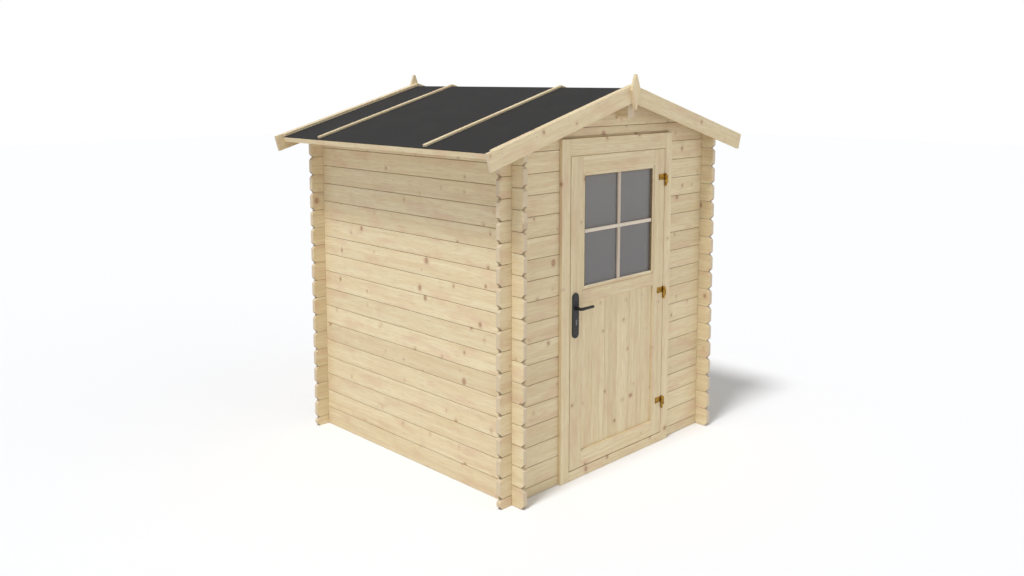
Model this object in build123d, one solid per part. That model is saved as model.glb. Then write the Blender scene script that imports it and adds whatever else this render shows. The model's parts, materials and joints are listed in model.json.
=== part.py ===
from build123d import *
import math
import os

# Small log-built garden shed with a gabled felt roof and one half-glazed door.
# Millimetres. Origin on the ground at the middle of the plan, front faces -Y, +Z up.

# Walls
course = 114.0            # cover height of one log board
log_thick = 28.0
wall_width = 1740.0       # across the front, outer face to outer face
wall_depth = 1740.0       # front to back, outer face to outer face
log_end = 87.0            # how far the crossing logs run past a corner
side_courses = 17
log_gap = 0.3             # between two boards, and round a crossing
tongue_wide = 9.0
tongue_high = 8.0
log_bevel = 2.5           # small bevel along the outer edges
notch_share = 0.25        # depth of a notch, as a share of the course
end_bevel = 19.0          # bevel on the corners of a log end

# Roof
pitch = 16.0
roof_thick = 18.0
roof_board_cover = 112.6
roof_bevel = 2.0
roof_tongue = 6.0         # thickness of the tongue along a roof board
eave_reach = 193.0        # roof boards past the side wall, level
felt_thick = 3.0
fascia_thick = 18.0
fascia_wide = 30.0
purlin_wide = 56.0
purlin_tall = 147.5       # from its bottom to the ridge of the boards
purlin_bevel = 10.0
barge_wide = 97.0
barge_thick = 18.0
barge_past = 50.0         # barge boards past the eave, down the slope
verge_wide = 20.0
verge_high = 18.0
batten_wide = 22.0
batten_high = 14.0
batten_bevel = 3.0
batten_short = 17.0       # batten ends this far up from the eave
felt_first = 543.0        # first felt joint from the front edge of the roof
felt_roll = 994.0         # joint to joint
finial_tall = 200.0
finial_wide = 80.0
finial_tip = 10.0
finial_shoulder = 90.0    # widest place below the tip
finial_thick = 18.0
finial_rise = 59.0        # tip above the barge boards' ridge

# Door frame
frame_wide = 1000.0
frame_centre = -5.0
jamb_face = 67.0
jamb_proud = 20.0
jamb_groove = 25.5
stop_deep = 23.0
stop_reach = 15.0
stop_gap = 5.0
head_high = 92.0
sill_high = 56.0
settling_gap = 10.0

# Door leaf
leaf_thick = 40.0
hinge_gap = 5.0
lock_gap = 6.5
top_gap = 5.0
sill_gap = 5.0
stile_wide = 98.0
top_rail_high = 92.0
bottom_rail_high = 93.0
middle_rail_high = 74.0
middle_rail_rise = 951.0  # its foot above the foot of the leaf
tenon_long = 40.0
tenon_thick = 12.0
tenon_inset = 10.0
panel_thick = 15.0
panel_boards = 6
panel_lap = 10.0
panel_tongue = 6.0
panel_tongue_thick = 5.0
panel_bevel = 1.5
glass_thick = 4.0
glass_recess = 17.0
bead_wide = 20.0
bead_sink = 1.5
bar_wide = 24.0
bar_high = 20.0
bar_deep = 11.0

# Hinges
hinge_rise = 196.0        # lowest hinge above the foot of the leaf
hinge_drop = 188.0        # highest hinge below the top of the leaf
knuckle_radius = 7.0
knuckle_tall = 75.0
pin_radius = 3.0
pin_clear = 0.06
pin_stand = 7.5           # pin centre in front of the door face
pin_short = 1.0           # pin end below the top of the knuckle
plate_thick = 2.5
frame_plate_wide = 23.0
frame_plate_high = 50.0
door_plate_wide = 54.0
door_plate_high = 35.0

# Handle and lock
backset = 38.0            # spindle from the edge of the leaf
lever_rise = 935.0        # spindle above the foot of the leaf
plate_wide = 50.0
plate_long = 256.0
plate_drop = 170.0        # foot of the plate below the spindle
plate_deep = 8.0
neck_radius = 9.0
neck_long = 42.0
lever_long = 105.0
lever_deep = 11.0
lever_tip_radius = 7.0
lever_bevel = 2.0
spindle_side = 8.0
spindle_hole = 8.0
cylinder_below = 72.0     # below the spindle
cylinder_radius = 8.5
cylinder_web = 10.0
cylinder_drop = 33.0
cylinder_proud = 3.0

# Seats
seat = 0.3                # clearance between fixed pieces that meet
turn_clear = 0.5          # round the neck of the lever
past = 1.0                # how far a cut runs past the surface it goes through

# Worked out from the values above
half_width = wall_width / 2
half_depth = wall_depth / 2
end_width = half_width + log_end
end_depth = half_depth + log_end
slope = math.tan(math.radians(pitch))
slope_cos = math.cos(math.radians(pitch))
slope_sin = math.sin(math.radians(pitch))
wall_top = side_courses * course
roof_long = (half_width + eave_reach) / slope_cos
felt_long = roof_long + seat + fascia_thick
purlin_low = wall_top + half_width * slope - purlin_tall
felt_low = roof_thick + seat
felt_high = felt_low + felt_thick
verge_low = felt_high + seat
barge_top = verge_low + verge_high
over_all = 2 * (wall_width + wall_depth)    # longer than any piece, for cutting
frame_top = wall_top

front_face = -half_depth
door_face = front_face - jamb_proud
leaf_back = door_face + leaf_thick
stop_front = leaf_back + stop_gap
jamb_back = stop_front + stop_deep
frame_left = frame_centre - frame_wide / 2
frame_right = frame_centre + frame_wide / 2
jamb_left = frame_left + jamb_face
jamb_right = frame_right - jamb_face
leaf_left = jamb_left + lock_gap
leaf_right = jamb_right - hinge_gap
leaf_low = sill_high + sill_gap
leaf_high = frame_top - head_high - top_gap
stile_left = leaf_left + stile_wide
stile_right = leaf_right - stile_wide
leaf_middle = (stile_left + stile_right) / 2
rail_low = leaf_low + bottom_rail_high
rail_middle = leaf_low + middle_rail_rise
rail_middle_top = rail_middle + middle_rail_high
rail_top = leaf_high - top_rail_high
pin_x = leaf_right + hinge_gap / 2
pin_y = door_face - pin_stand
spindle_x = leaf_left + backset
lever_height = leaf_low + lever_rise
plate_low = lever_height - plate_drop
cylinder_height = lever_height - cylinder_below
hinge_low = leaf_low + hinge_rise
hinge_high = leaf_high - hinge_drop
hinge_heights = (hinge_low, (hinge_low + hinge_high) / 2, hinge_high)

folder = "parts"
os.makedirs(folder, exist_ok=True)


def felt_joints():
    """Where the felt widths meet, from the front edge of the roof."""
    places = []
    place = -end_depth + felt_first
    while place < end_depth - batten_wide:
        places.append(place)
        place += felt_roll
    return places


def roof_height(x, lift=0.0):
    """Height of the roof slope at x, lifted square to it from the underside."""
    return wall_top + (half_width - abs(x)) * slope + lift / slope_cos


def block(x0, x1, y0, y1, z0, z1):
    """A plain box between two corners."""
    size = Box(x1 - x0, y1 - y0, z1 - z0)
    return Pos((x0 + x1) / 2, (y0 + y1) / 2, (z0 + z1) / 2) * size


def prism(points, plane, start, end):
    """An outline drawn on a plane, extruded square to it from start to end."""
    face = make_face(Polyline(*points, close=True))
    return extrude(plane.offset(start) * face, amount=end - start)


def upright(points, y0, y1):
    """An outline in x and z, extruded from y0 to y1."""
    return prism(points, Plane.XZ, -y1, -y0)


def along_x(points, x0, x1):
    """An outline in y and z, extruded from x0 to x1."""
    return prism(points, Plane.YZ, x0, x1)


def plan(points, z0, z1):
    """An outline in x and y, extruded from z0 to z1."""
    return prism(points, Plane.XY, z0, z1)


def rod(radius, x, z, y0, y1):
    """A round bar along Y."""
    return extrude(Plane.XZ.offset(-y1) * Pos(x, z) * Circle(radius), amount=y1 - y0)


def save(name, solids):
    """Write the solids of one node."""
    shape = Compound(children=list(solids)) if len(solids) > 1 else solids[0]
    shape.label = name
    export_step(shape, os.path.join(folder, name + ".step"))


def under_roof(lift):
    """Everything below the roof slopes, lifted square from their underside."""
    reach = over_all / 2
    points = [
        (-reach, -course),
        (reach, -course),
        (reach, roof_height(reach, lift)),
        (0, roof_height(0, lift)),
        (-reach, roof_height(reach, lift)),
    ]
    return upright(points, -over_all / 2, over_all / 2)


def slope_point(down, lift):
    """A point on the left slope in x and z, by its way down from the ridge and its lift."""
    x = down * slope_cos + lift * slope_sin
    return (-x, roof_height(0) - down * slope_sin + lift * slope_cos)


def slope_strip(low, high, down, y0, y1):
    """A strip on the left slope between two lifts, plumb at the ridge and square at its foot."""
    ridge = -seat / 2
    points = [
        slope_point(down, high),
        slope_point(down, low),
        (ridge, roof_height(ridge, low)),
        (ridge, roof_height(ridge, high)),
    ]
    return upright(points, y0, y1)


def mirror_x(shape):
    return mirror(shape, about=Plane.YZ)


def mirror_y(shape):
    return mirror(shape, about=Plane.XZ)


# Log boards. In its own frame a board runs along X with its outer face at y = 0.

def log_section(low, high):
    """Section of a board in y and z, with bevelled outer edges."""
    return [
        (0, low + log_bevel),
        (log_bevel, low),
        (log_thick, low),
        (log_thick, high),
        (log_bevel, high),
        (0, high - log_bevel),
    ]


def log_elevation(half_length, low, high, step_low, step_high):
    """Outline of a board in x and z, notched where the other wall crosses it."""
    tip = half_length + log_end
    outer = half_length + log_gap
    inner = half_length - log_thick - log_gap
    half = [
        (inner, low),
        (inner, step_low),
        (outer, step_low),
        (outer, low),
        (tip - end_bevel, low),
        (tip, low + end_bevel),
        (tip, high - end_bevel),
        (tip - end_bevel, high),
        (outer, high),
        (outer, step_high),
        (inner, step_high),
        (inner, high),
    ]
    if step_low <= low:
        half = half[4:]
    return half + [(-x, z) for x, z in reversed(half)]


def tongue(half_length, level, clear=0.0):
    """The tongue that stands on a board at this level, or the groove that takes it."""
    side = tongue_wide / 2 + clear
    middle = log_thick / 2
    tip = level + tongue_high + clear
    return block(-half_length, half_length, middle - side, middle + side, level - past, tip)


def log_board(half_length, low, high, last=False):
    """One notched board of a wall; the last one of a side runs up to the roof."""
    on_ground = low <= 0.0
    base = 0.0 if on_ground else low + log_gap / 2
    quarter = course * notch_share + log_gap / 2
    top = high + course / 2 if last else high - log_gap / 2
    outline = log_elevation(half_length, base, top, low + quarter, high - quarter)
    reach = half_length + log_end
    board = along_x(log_section(base, top), -reach, reach) & upright(outline, 0, log_thick)
    inner = half_length - log_thick - log_gap
    if not last:
        board += tongue(inner, top)
    if not on_ground:
        board -= tongue(inner + log_gap, base, log_gap)
    return board


def gable_board(low, high):
    """One plain board of a gable, cut to the slopes later."""
    base = low + log_gap / 2
    top = high - log_gap / 2
    board = along_x(log_section(base, top), -half_width, half_width)
    return board + tongue(half_width, top) - tongue(half_width, base, log_gap)


def on_front(shape):
    return Pos(0, -half_depth, 0) * shape


def on_back(shape):
    return Rot(0, 0, 180) * on_front(shape)


def on_left(shape):
    return Rot(0, 0, -90) * Pos(0, -half_width, 0) * shape


def on_right(shape):
    return Rot(0, 0, 180) * on_left(shape)


def solids_of(shape):
    """The separate solids, from left to right."""
    return sorted(shape.solids(), key=lambda s: s.center().X)


def purlin_room():
    """The space that the ridge purlin takes in a gable."""
    side = purlin_wide / 2 + seat
    return block(-side, side, -over_all / 2, over_all / 2, purlin_low - seat, over_all)


def side_walls():
    """Both side walls, whole courses from the ground, the top one bevelled to the roof."""
    room = under_roof(-seat)
    boards = []
    for index in range(side_courses):
        last = index == side_courses - 1
        board = on_left(log_board(half_depth, index * course, (index + 1) * course, last))
        boards.append((board & room).solid() if last else board.solid())
    save("left_wall_logs", boards)
    save("right_wall_logs", [mirror_x(board) for board in boards])


def end_courses():
    """Boards of an end wall, set half a course off the sides, up into the gable."""
    room = under_roof(-seat)
    slot = purlin_room()
    ridge = roof_height(0)
    boards = []
    low = -course / 2
    while low < ridge - course * notch_share:
        high = low + course
        if roof_height(half_width) > low + course * notch_share:
            board = log_board(half_width, low, high)
        else:
            board = gable_board(low, high)
        placed = on_front(board)
        if high > roof_height(end_width) - course * notch_share:
            placed = placed & room
        if high > purlin_low - course * notch_share:
            placed = placed - slot
        boards.append(placed)
        low = high
    return boards


def end_walls():
    """The front wall, split beside and over the doorway, and the plain back wall."""
    cut_left = frame_left + jamb_groove - seat
    cut_right = frame_right - jamb_groove + seat
    doorway = block(cut_left, cut_right, -over_all / 2, 0, -past, frame_top + settling_gap)
    left = []
    right = []
    over = []
    back_wall = []
    back_gable = []
    for board in end_courses():
        whole = solids_of(board)
        turned = [Rot(0, 0, 180) * piece for piece in whole]
        low = board.bounding_box().min.Z
        gable = low > wall_top - course
        (back_gable if gable else back_wall).extend(turned)
        pieces = solids_of(board - doorway)
        beside = len(pieces) == 2 and len(whole) == 1
        if beside:
            left.append(pieces[0])
            right.append(pieces[1])
        else:
            over.extend(pieces)
    save("front_wall_logs_left", left)
    save("front_wall_logs_right", right)
    save("front_gable_logs", over)
    save("back_wall_logs", back_wall)
    save("back_gable_logs", back_gable)


def ridge_purlin():
    """The beam under the ridge, its top bevelled both ways."""
    side = purlin_wide / 2
    points = [
        (-side + purlin_bevel, purlin_low),
        (side - purlin_bevel, purlin_low),
        (side, purlin_low + purlin_bevel),
        (side, roof_height(side, -seat)),
        (0, roof_height(0, -seat)),
        (-side, roof_height(side, -seat)),
        (-side, purlin_low + purlin_bevel),
    ]
    save("ridge_purlin", [upright(points, -end_depth, end_depth).solid()])


def roof_board_section(start, end, first, last):
    """Section of a roof board, in y and in height above its underside."""
    mid = roof_thick / 2
    side = roof_tongue / 2
    groove = side + log_gap
    deep = tongue_high
    low = start + (0 if first else log_gap)
    points = [(low, roof_thick), (low, mid + groove)]
    if not first:
        points += [(low + deep, mid + groove), (low + deep, mid - groove), (low, mid - groove)]
    points += [(low, roof_bevel), (low + roof_bevel, 0), (end - roof_bevel, 0), (end, roof_bevel)]
    if not last:
        tip = end + deep - log_gap
        points += [(end, mid - side), (tip, mid - side), (tip, mid + side), (end, mid + side)]
    points += [(end, roof_thick)]
    return points


def roof_boards():
    """Tongued boards from ridge to eave on both slopes."""
    count = round(2 * end_depth / roof_board_cover)
    cover = 2 * end_depth / count
    ridge = (0.0, 0.0, roof_height(0))
    down = Plane(origin=ridge, x_dir=(0, 1, 0), z_dir=(-slope_cos, 0, -slope_sin))
    plumb = block(-over_all, -log_gap / 2, -over_all, over_all, 0, over_all)
    boards = []
    for index in range(count):
        start = -end_depth + index * cover
        section = roof_board_section(start, start + cover, index == 0, index == count - 1)
        flipped = [(y, -height) for y, height in section]
        face = make_face(Polyline(*flipped, close=True))
        board = extrude(down.offset(-course) * face, amount=roof_long + course)
        boards.append((board & plumb).solid())
    save("roof_boards_left", boards)
    save("roof_boards_right", [mirror_x(board) for board in boards])


def felt_sheets():
    """Felt laid over the ridge in three widths that meet under the battens."""
    half = [(0, roof_height(0, felt_low)), slope_point(felt_long, felt_low)]
    half += [slope_point(felt_long, felt_high), (0, roof_height(0, felt_high))]
    points = half + [(-x, z) for x, z in half[2:0:-1]]
    edges = [-end_depth] + felt_joints() + [end_depth]
    sheets = []
    for start, end in zip(edges, edges[1:]):
        sheets.append(upright(points, start + log_gap / 2, end - log_gap / 2).solid())
    save("roof_felt", sheets)


def eave_fascias():
    """Strips nailed on the lower ends of the roof boards, between the barge boards."""
    near = roof_long + seat
    far = near + fascia_thick
    foot = roof_thick - fascia_wide
    points = [
        slope_point(near, roof_thick),
        slope_point(far, roof_thick),
        slope_point(far, foot),
        slope_point(near, foot),
    ]
    strip = upright(points, -end_depth, end_depth).solid()
    save("eave_fascia_left", [strip])
    save("eave_fascia_right", [mirror_x(strip)])


def felt_battens():
    """Bevelled battens over the felt joints, from near the eave up to the ridge."""
    high = verge_low + batten_high
    down = felt_long - batten_short
    battens = []
    for middle in felt_joints():
        y0 = middle - batten_wide / 2
        y1 = middle + batten_wide / 2
        batten = slope_strip(verge_low, high, down, y0, y1)
        crest = batten.edges().filter_by(lambda edge: edge.length > course).group_by(Axis.Z)[-1]
        battens.append(chamfer(crest, batten_bevel).solid())
    save("felt_battens_left", battens)
    save("felt_battens_right", [mirror_x(batten) for batten in battens])


def verge_strips():
    """Strips on the felt along the inner side of each barge board."""
    strip = slope_strip(verge_low, barge_top, felt_long, -end_depth, -end_depth + verge_wide).solid()
    pair = [strip, mirror_x(strip)]
    save("verge_strips", pair + [mirror_y(piece) for piece in pair])


def barge_boards():
    """Boards on the roof's front and rear edges, plumb at the ridge, square at the foot."""
    near = -end_depth - seat
    down = felt_long + barge_past
    board = slope_strip(barge_top - barge_wide, barge_top, down, near - barge_thick, near).solid()
    save("front_barge_board_left", [board])
    save("front_barge_board_right", [mirror_x(board)])
    save("rear_barge_board_left", [mirror_y(board)])
    save("rear_barge_board_right", [mirror_y(mirror_x(board))])


def finials():
    """Kite-shaped finials over the joints of the barge boards."""
    tip = finial_tip / 2
    side = finial_wide / 2
    finial_top = roof_height(0, barge_top) + finial_rise
    points = [
        (-tip, finial_top),
        (-side, finial_top - finial_shoulder),
        (-tip, finial_top - finial_tall),
        (tip, finial_top - finial_tall),
        (side, finial_top - finial_shoulder),
        (tip, finial_top),
    ]
    near = -end_depth - 2 * seat - barge_thick
    finial = upright(points, near - finial_thick, near).solid()
    save("front_finial", [finial])
    save("rear_finial", [mirror_y(finial)])


# Door frame

def jamb_outline():
    """Left jamb in plan: grooved over the log ends, with a stop behind the leaf."""
    groove_front = front_face - seat
    groove_back = front_face + log_thick + seat
    return [
        (frame_left, door_face),
        (jamb_left, door_face),
        (jamb_left, stop_front),
        (jamb_left + stop_reach, stop_front),
        (jamb_left + stop_reach, jamb_back),
        (frame_left, jamb_back),
        (frame_left, groove_back),
        (frame_left + jamb_groove, groove_back),
        (frame_left + jamb_groove, groove_front),
        (frame_left, groove_front),
    ]


def door_frame():
    """Jambs to the ground, with the head and the sill between them."""
    left = plan(jamb_outline(), 0, frame_top).solid()
    across = [(2 * frame_centre - x, y) for x, y in jamb_outline()]
    right = plan(across, 0, frame_top).solid()
    x0 = jamb_left + seat
    x1 = jamb_right - seat
    inner0 = x0 + stop_reach
    inner1 = x1 - stop_reach
    head_low = frame_top - head_high
    head = block(x0, x1, door_face, stop_front, head_low, frame_top)
    head += block(inner0, inner1, stop_front, jamb_back, head_low - stop_reach, frame_top)
    sill = block(x0, x1, door_face, stop_front, 0, sill_high)
    sill += block(inner0, inner1, stop_front, jamb_back, 0, sill_high + stop_reach)
    save("door_jamb_left", [left])
    save("door_jamb_right", [right])
    save("door_head", [head.solid()])
    save("door_sill", [sill.solid()])


# Door leaf

panel_front = door_face + (leaf_thick - panel_thick) / 2
panel_back = panel_front + panel_thick
tenon_front = door_face + (leaf_thick - tenon_thick) / 2
tenon_back = tenon_front + tenon_thick


def rail(low, high):
    """A rail between the stiles with a tenon at each end."""
    body = block(stile_left + seat, stile_right - seat, door_face, leaf_back, low, high)
    tenon = block(
        stile_left - tenon_long,
        stile_right + tenon_long,
        tenon_front,
        tenon_back,
        low + tenon_inset,
        high - tenon_inset,
    )
    return body + tenon


def mortise(low, high):
    """The room in both stiles for the tenons of a rail."""
    return block(
        stile_left - tenon_long - seat,
        stile_right + tenon_long + seat,
        tenon_front - seat,
        tenon_back + seat,
        low + tenon_inset - seat,
        high - tenon_inset + seat,
    )


def panel_groove():
    """The room round the boarded panel in the stiles and rails."""
    lap = panel_lap + seat
    return block(
        stile_left - lap,
        stile_right + lap,
        panel_front - seat,
        panel_back + seat,
        rail_low - lap,
        rail_middle + lap,
    )


def lock_profile(clear, y0, y1):
    """The lock cylinder's profile, a round with a web below."""
    round_part = rod(cylinder_radius + clear, spindle_x, cylinder_height, y0, y1)
    foot = cylinder_height + cylinder_radius - cylinder_drop + cylinder_web / 2
    web = cylinder_web / 2 + clear
    bar = block(spindle_x - web, spindle_x + web, y0, y1, foot, cylinder_height)
    return round_part + bar + rod(web, spindle_x, foot, y0, y1)


def door_leaf():
    """Stiles and rails of the leaf, grooved, mortised and bored for the lock."""
    groove = panel_groove()
    rails = {
        "door_bottom_rail": (leaf_low, rail_low),
        "door_middle_rail": (rail_middle, rail_middle_top),
        "door_top_rail": (rail_top, leaf_high),
    }
    left = block(leaf_left, stile_left, door_face, leaf_back, leaf_low, leaf_high)
    right = block(stile_right, leaf_right, door_face, leaf_back, leaf_low, leaf_high)
    for name, (low, high) in rails.items():
        save(name, [(rail(low, high) - groove).solid()])
        left -= mortise(low, high)
        right -= mortise(low, high)
    left -= groove
    right -= groove
    left -= rod(spindle_hole, spindle_x, lever_height, door_face - past, leaf_back + past)
    left -= lock_profile(turn_clear, door_face - past, leaf_back + past)
    save("door_stile_left", [left.solid()])
    save("door_stile_right", [right.solid()])


def panel_section(start, end, first, last):
    """One upright board of the panel in plan, tongued and grooved."""
    mid = (panel_front + panel_back) / 2
    side = panel_tongue_thick / 2
    groove = side + log_gap
    low = start + (0 if first else log_gap)
    points = [(low + panel_bevel, panel_back), (low, panel_back - panel_bevel)]
    if not first:
        points += [(low, mid + groove), (low + panel_tongue, mid + groove)]
        points += [(low + panel_tongue, mid - groove), (low, mid - groove)]
    points += [(low, panel_front + panel_bevel), (low + panel_bevel, panel_front)]
    points += [(end - panel_bevel, panel_front), (end, panel_front + panel_bevel)]
    if not last:
        tip = end + panel_tongue - log_gap
        points += [(end, mid - side), (tip, mid - side), (tip, mid + side), (end, mid + side)]
    points += [(end, panel_back - panel_bevel), (end - panel_bevel, panel_back)]
    return points


def door_panel():
    """Upright boards in the lower part of the leaf."""
    start = stile_left - panel_lap
    cover = (stile_right + panel_lap - start) / panel_boards
    boards = []
    for index in range(panel_boards):
        low = start + index * cover
        section = panel_section(low, low + cover, index == 0, index == panel_boards - 1)
        boards.append(plan(section, rail_low - panel_lap, rail_middle + panel_lap).solid())
    save("door_panel_boards", boards)


def bead_ring(y0, y1):
    """Four mitred beads round the window, between two depths."""
    x0 = stile_left + seat
    x1 = stile_right - seat
    z0 = rail_middle_top + seat
    z1 = rail_top - seat
    corners = [(x0, z0), (x1, z0), (x1, z1), (x0, z1)]
    inset = [
        (x0 + bead_wide, z0 + bead_wide),
        (x1 - bead_wide, z0 + bead_wide),
        (x1 - bead_wide, z1 - bead_wide),
        (x0 + bead_wide, z1 - bead_wide),
    ]
    beads = []
    for index in range(4):
        after = (index + 1) % 4
        along = Vector(corners[after][0] - corners[index][0], corners[after][1] - corners[index][1])
        step = along.normalized() * (log_gap / 2)
        points = [
            (corners[index][0] + step.X, corners[index][1] + step.Y),
            (corners[after][0] - step.X, corners[after][1] - step.Y),
            (inset[after][0] - step.X, inset[after][1] - step.Y),
            (inset[index][0] + step.X, inset[index][1] + step.Y),
        ]
        beads.append(upright(points, y0, y1).solid())
    return beads


def window():
    """The pane between two rings of beads, with a cross of bars on each side."""
    glass_front = door_face + glass_recess
    glass_back = glass_front + glass_thick
    edge = 2 * seat
    pane = block(
        stile_left + edge,
        stile_right - edge,
        glass_front,
        glass_back,
        rail_middle_top + edge,
        rail_top - edge,
    )
    save("door_glass", [pane.solid()])
    beads = bead_ring(door_face + bead_sink, glass_front - seat)
    beads += bead_ring(glass_back + seat, leaf_back - bead_sink)
    save("glazing_beads", beads)
    middle = (rail_middle_top + rail_top) / 2
    x0 = stile_left + bead_wide + 2 * seat
    x1 = stile_right - bead_wide - 2 * seat
    z0 = rail_middle_top + bead_wide + 2 * seat
    z1 = rail_top - bead_wide - 2 * seat
    bars = []
    for y0, y1 in ((glass_front - seat - bar_deep, glass_front - seat),
                   (glass_back + seat, glass_back + seat + bar_deep)):
        post = block(leaf_middle - bar_wide / 2, leaf_middle + bar_wide / 2, y0, y1, z0, z1)
        cross = block(x0, x1, y0, y1, middle - bar_high / 2, middle + bar_high / 2)
        bars.append((post + cross).solid())
    save("glazing_bars", bars)


# Hinges: the frame's half carries the pin, the door's half is lifted onto it.

def knuckle(radius, z0, z1):
    """A round upright bar on the axis of the hinges."""
    return Pos(pin_x, pin_y, z0) * extrude(Circle(radius), amount=z1 - z0)


def hinge_plate(x0, x1, z0, z1):
    return block(x0, x1, door_face - seat - plate_thick, door_face - seat, z0, z1)


def frame_hinge(height):
    """Lower knuckle with the pin, and its plate on the jamb."""
    low = height - knuckle_tall / 2
    meet = height - seat
    near = pin_x + knuckle_radius + past
    plate_high = frame_plate_high / 2
    half = knuckle(knuckle_radius, low, meet)
    half += hinge_plate(near, near + frame_plate_wide, height - plate_high, height + plate_high)
    half += hinge_plate(pin_x, near, height - plate_high, meet)
    half += knuckle(pin_radius, low, height + knuckle_tall / 2 - pin_short)
    return half.solid()


def door_hinge(height):
    """Upper knuckle, bored for the pin, and its plate on the leaf."""
    high = height + knuckle_tall / 2
    meet = height + seat
    half = knuckle(knuckle_radius, meet, high)
    half += hinge_plate(pin_x - knuckle_radius - door_plate_wide, pin_x, meet, meet + door_plate_high)
    return (half - knuckle(pin_radius + pin_clear, height, high + past)).solid()


def hinges():
    """Three lift-off hinges on the right of the door."""
    save("hinge_frame_plates", [frame_hinge(height) for height in hinge_heights])
    save("hinge_door_plates", [door_hinge(height) for height in hinge_heights])


# Handle and lock

def handle_plate(y0, y1):
    """A plate with round ends, open for the lever's neck and the lock cylinder."""
    radius = plate_wide / 2
    z0 = plate_low + radius
    z1 = plate_low + plate_long - radius
    plate = block(spindle_x - radius, spindle_x + radius, y0, y1, z0, z1)
    plate += rod(radius, spindle_x, z0, y0, y1)
    plate += rod(radius, spindle_x, z1, y0, y1)
    plate -= rod(neck_radius + turn_clear, spindle_x, lever_height, y0 - past, y1 + past)
    plate -= lock_profile(turn_clear, y0 - past, y1 + past)
    return plate.solid()


def lever_side(face, out):
    """Neck and arm of the lever on one face of the leaf; out is -1 in front, 1 behind."""
    arm_near = face + out * neck_long
    arm_far = arm_near + out * lever_deep
    y0 = min(arm_near, arm_far)
    y1 = max(arm_near, arm_far)
    tip_x = spindle_x + lever_long - lever_tip_radius
    root_round = Pos(spindle_x, lever_height) * Circle(neck_radius)
    tip_round = Pos(tip_x, lever_height) * Circle(lever_tip_radius)
    outline = make_hull([root_round.edge(), tip_round.edge()])
    arm = extrude(Plane.XZ.offset(-y1) * outline, amount=y1 - y0)
    outer_edges = arm.edges().group_by(Axis.Y)[0 if out < 0 else -1]
    arm = chamfer(outer_edges, lever_bevel)
    neck = rod(neck_radius, spindle_x, lever_height, min(face, arm_near), max(face, arm_near))
    return arm + neck


def handle():
    """Plates on both faces, the lever with its spindle, and the lock cylinder."""
    front = door_face - seat
    back = leaf_back + seat
    save("handle_plate_outside", [handle_plate(front - plate_deep, front)])
    save("handle_plate_inside", [handle_plate(back, back + plate_deep)])
    side = spindle_side / 2
    spindle = block(-side, side, front, back, -side, side)
    lever = lever_side(front, -1) + lever_side(back, 1) + Pos(spindle_x, 0, lever_height) * spindle
    save("lever_handle", [lever.solid()])
    proud = plate_deep + cylinder_proud
    save("lock_cylinder", [lock_profile(0, front - proud, back + proud).solid()])


side_walls()
end_walls()
ridge_purlin()
roof_boards()
felt_sheets()
eave_fascias()
felt_battens()
verge_strips()
barge_boards()
finials()
door_frame()
door_leaf()
door_panel()
window()
hinges()
handle()
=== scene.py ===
import json
import math

import bpy
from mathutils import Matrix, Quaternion, Vector


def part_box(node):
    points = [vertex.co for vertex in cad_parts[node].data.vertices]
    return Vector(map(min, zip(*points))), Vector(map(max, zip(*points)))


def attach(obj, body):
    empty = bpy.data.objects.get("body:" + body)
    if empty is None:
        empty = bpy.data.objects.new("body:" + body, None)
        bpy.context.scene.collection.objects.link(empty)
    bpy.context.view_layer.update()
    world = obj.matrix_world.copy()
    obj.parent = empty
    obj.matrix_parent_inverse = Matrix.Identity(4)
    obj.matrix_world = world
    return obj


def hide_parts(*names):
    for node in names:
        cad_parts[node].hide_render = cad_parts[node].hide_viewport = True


# A log-built garden shed in pale spruce, with a felt roof and a half-glazed door.
# Metres, ground at z = 0, the front faces -Y.

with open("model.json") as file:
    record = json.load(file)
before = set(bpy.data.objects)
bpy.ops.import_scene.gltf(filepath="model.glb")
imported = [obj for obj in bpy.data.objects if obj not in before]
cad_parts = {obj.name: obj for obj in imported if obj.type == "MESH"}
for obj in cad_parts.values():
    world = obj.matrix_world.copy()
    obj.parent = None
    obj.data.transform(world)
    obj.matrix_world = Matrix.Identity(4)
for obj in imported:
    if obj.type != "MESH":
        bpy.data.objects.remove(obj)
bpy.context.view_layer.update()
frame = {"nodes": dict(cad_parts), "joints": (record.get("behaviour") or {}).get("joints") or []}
nodes = frame["nodes"]

roofPitch = math.radians(16)
downSlope = (math.cos(roofPitch), 0, -math.sin(roofPitch))   # along the right slope, eavewards
squareSlope = (math.sin(roofPitch), 0, math.cos(roofPitch))  # square to the right slope, upwards
alongX = (1, 0, 0)
alongY = (0, 1, 0)
alongZ = (0, 0, 1)


# Shader nodes

class Value:
    # wraps a socket that holds a number, so that maths can be written as expressions

    def __init__(self, paint, socket):
        self.paint = paint
        self.socket = socket

    def maths(self, operation, first, second=0.0):
        inputs = {0: first, 1: second}
        return self.paint.node("ShaderNodeMath", {"operation": operation}, inputs)

    def __add__(self, other):
        return self.maths("ADD", self, other)

    def __radd__(self, other):
        return self.maths("ADD", other, self)

    def __sub__(self, other):
        return self.maths("SUBTRACT", self, other)

    def __rsub__(self, other):
        return self.maths("SUBTRACT", other, self)

    def __mul__(self, other):
        return self.maths("MULTIPLY", self, other)

    def __rmul__(self, other):
        return self.maths("MULTIPLY", other, self)

    def __truediv__(self, other):
        return self.maths("DIVIDE", self, other)

    def __gt__(self, other):
        return self.maths("GREATER_THAN", self, other)

    def __abs__(self):
        return self.maths("ABSOLUTE", self)

    def floor(self):
        return self.maths("FLOOR", self)

    def fraction(self):
        return self.maths("FRACT", self)

    def root(self):
        return self.maths("SQRT", self)

    def smooth(self, low, high):
        # 0 below low, 1 above high, eased between
        settings = {"interpolation_type": "SMOOTHSTEP"}
        inputs = {"Value": self, "From Min": low, "From Max": high}
        return self.paint.node("ShaderNodeMapRange", settings, inputs)


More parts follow.
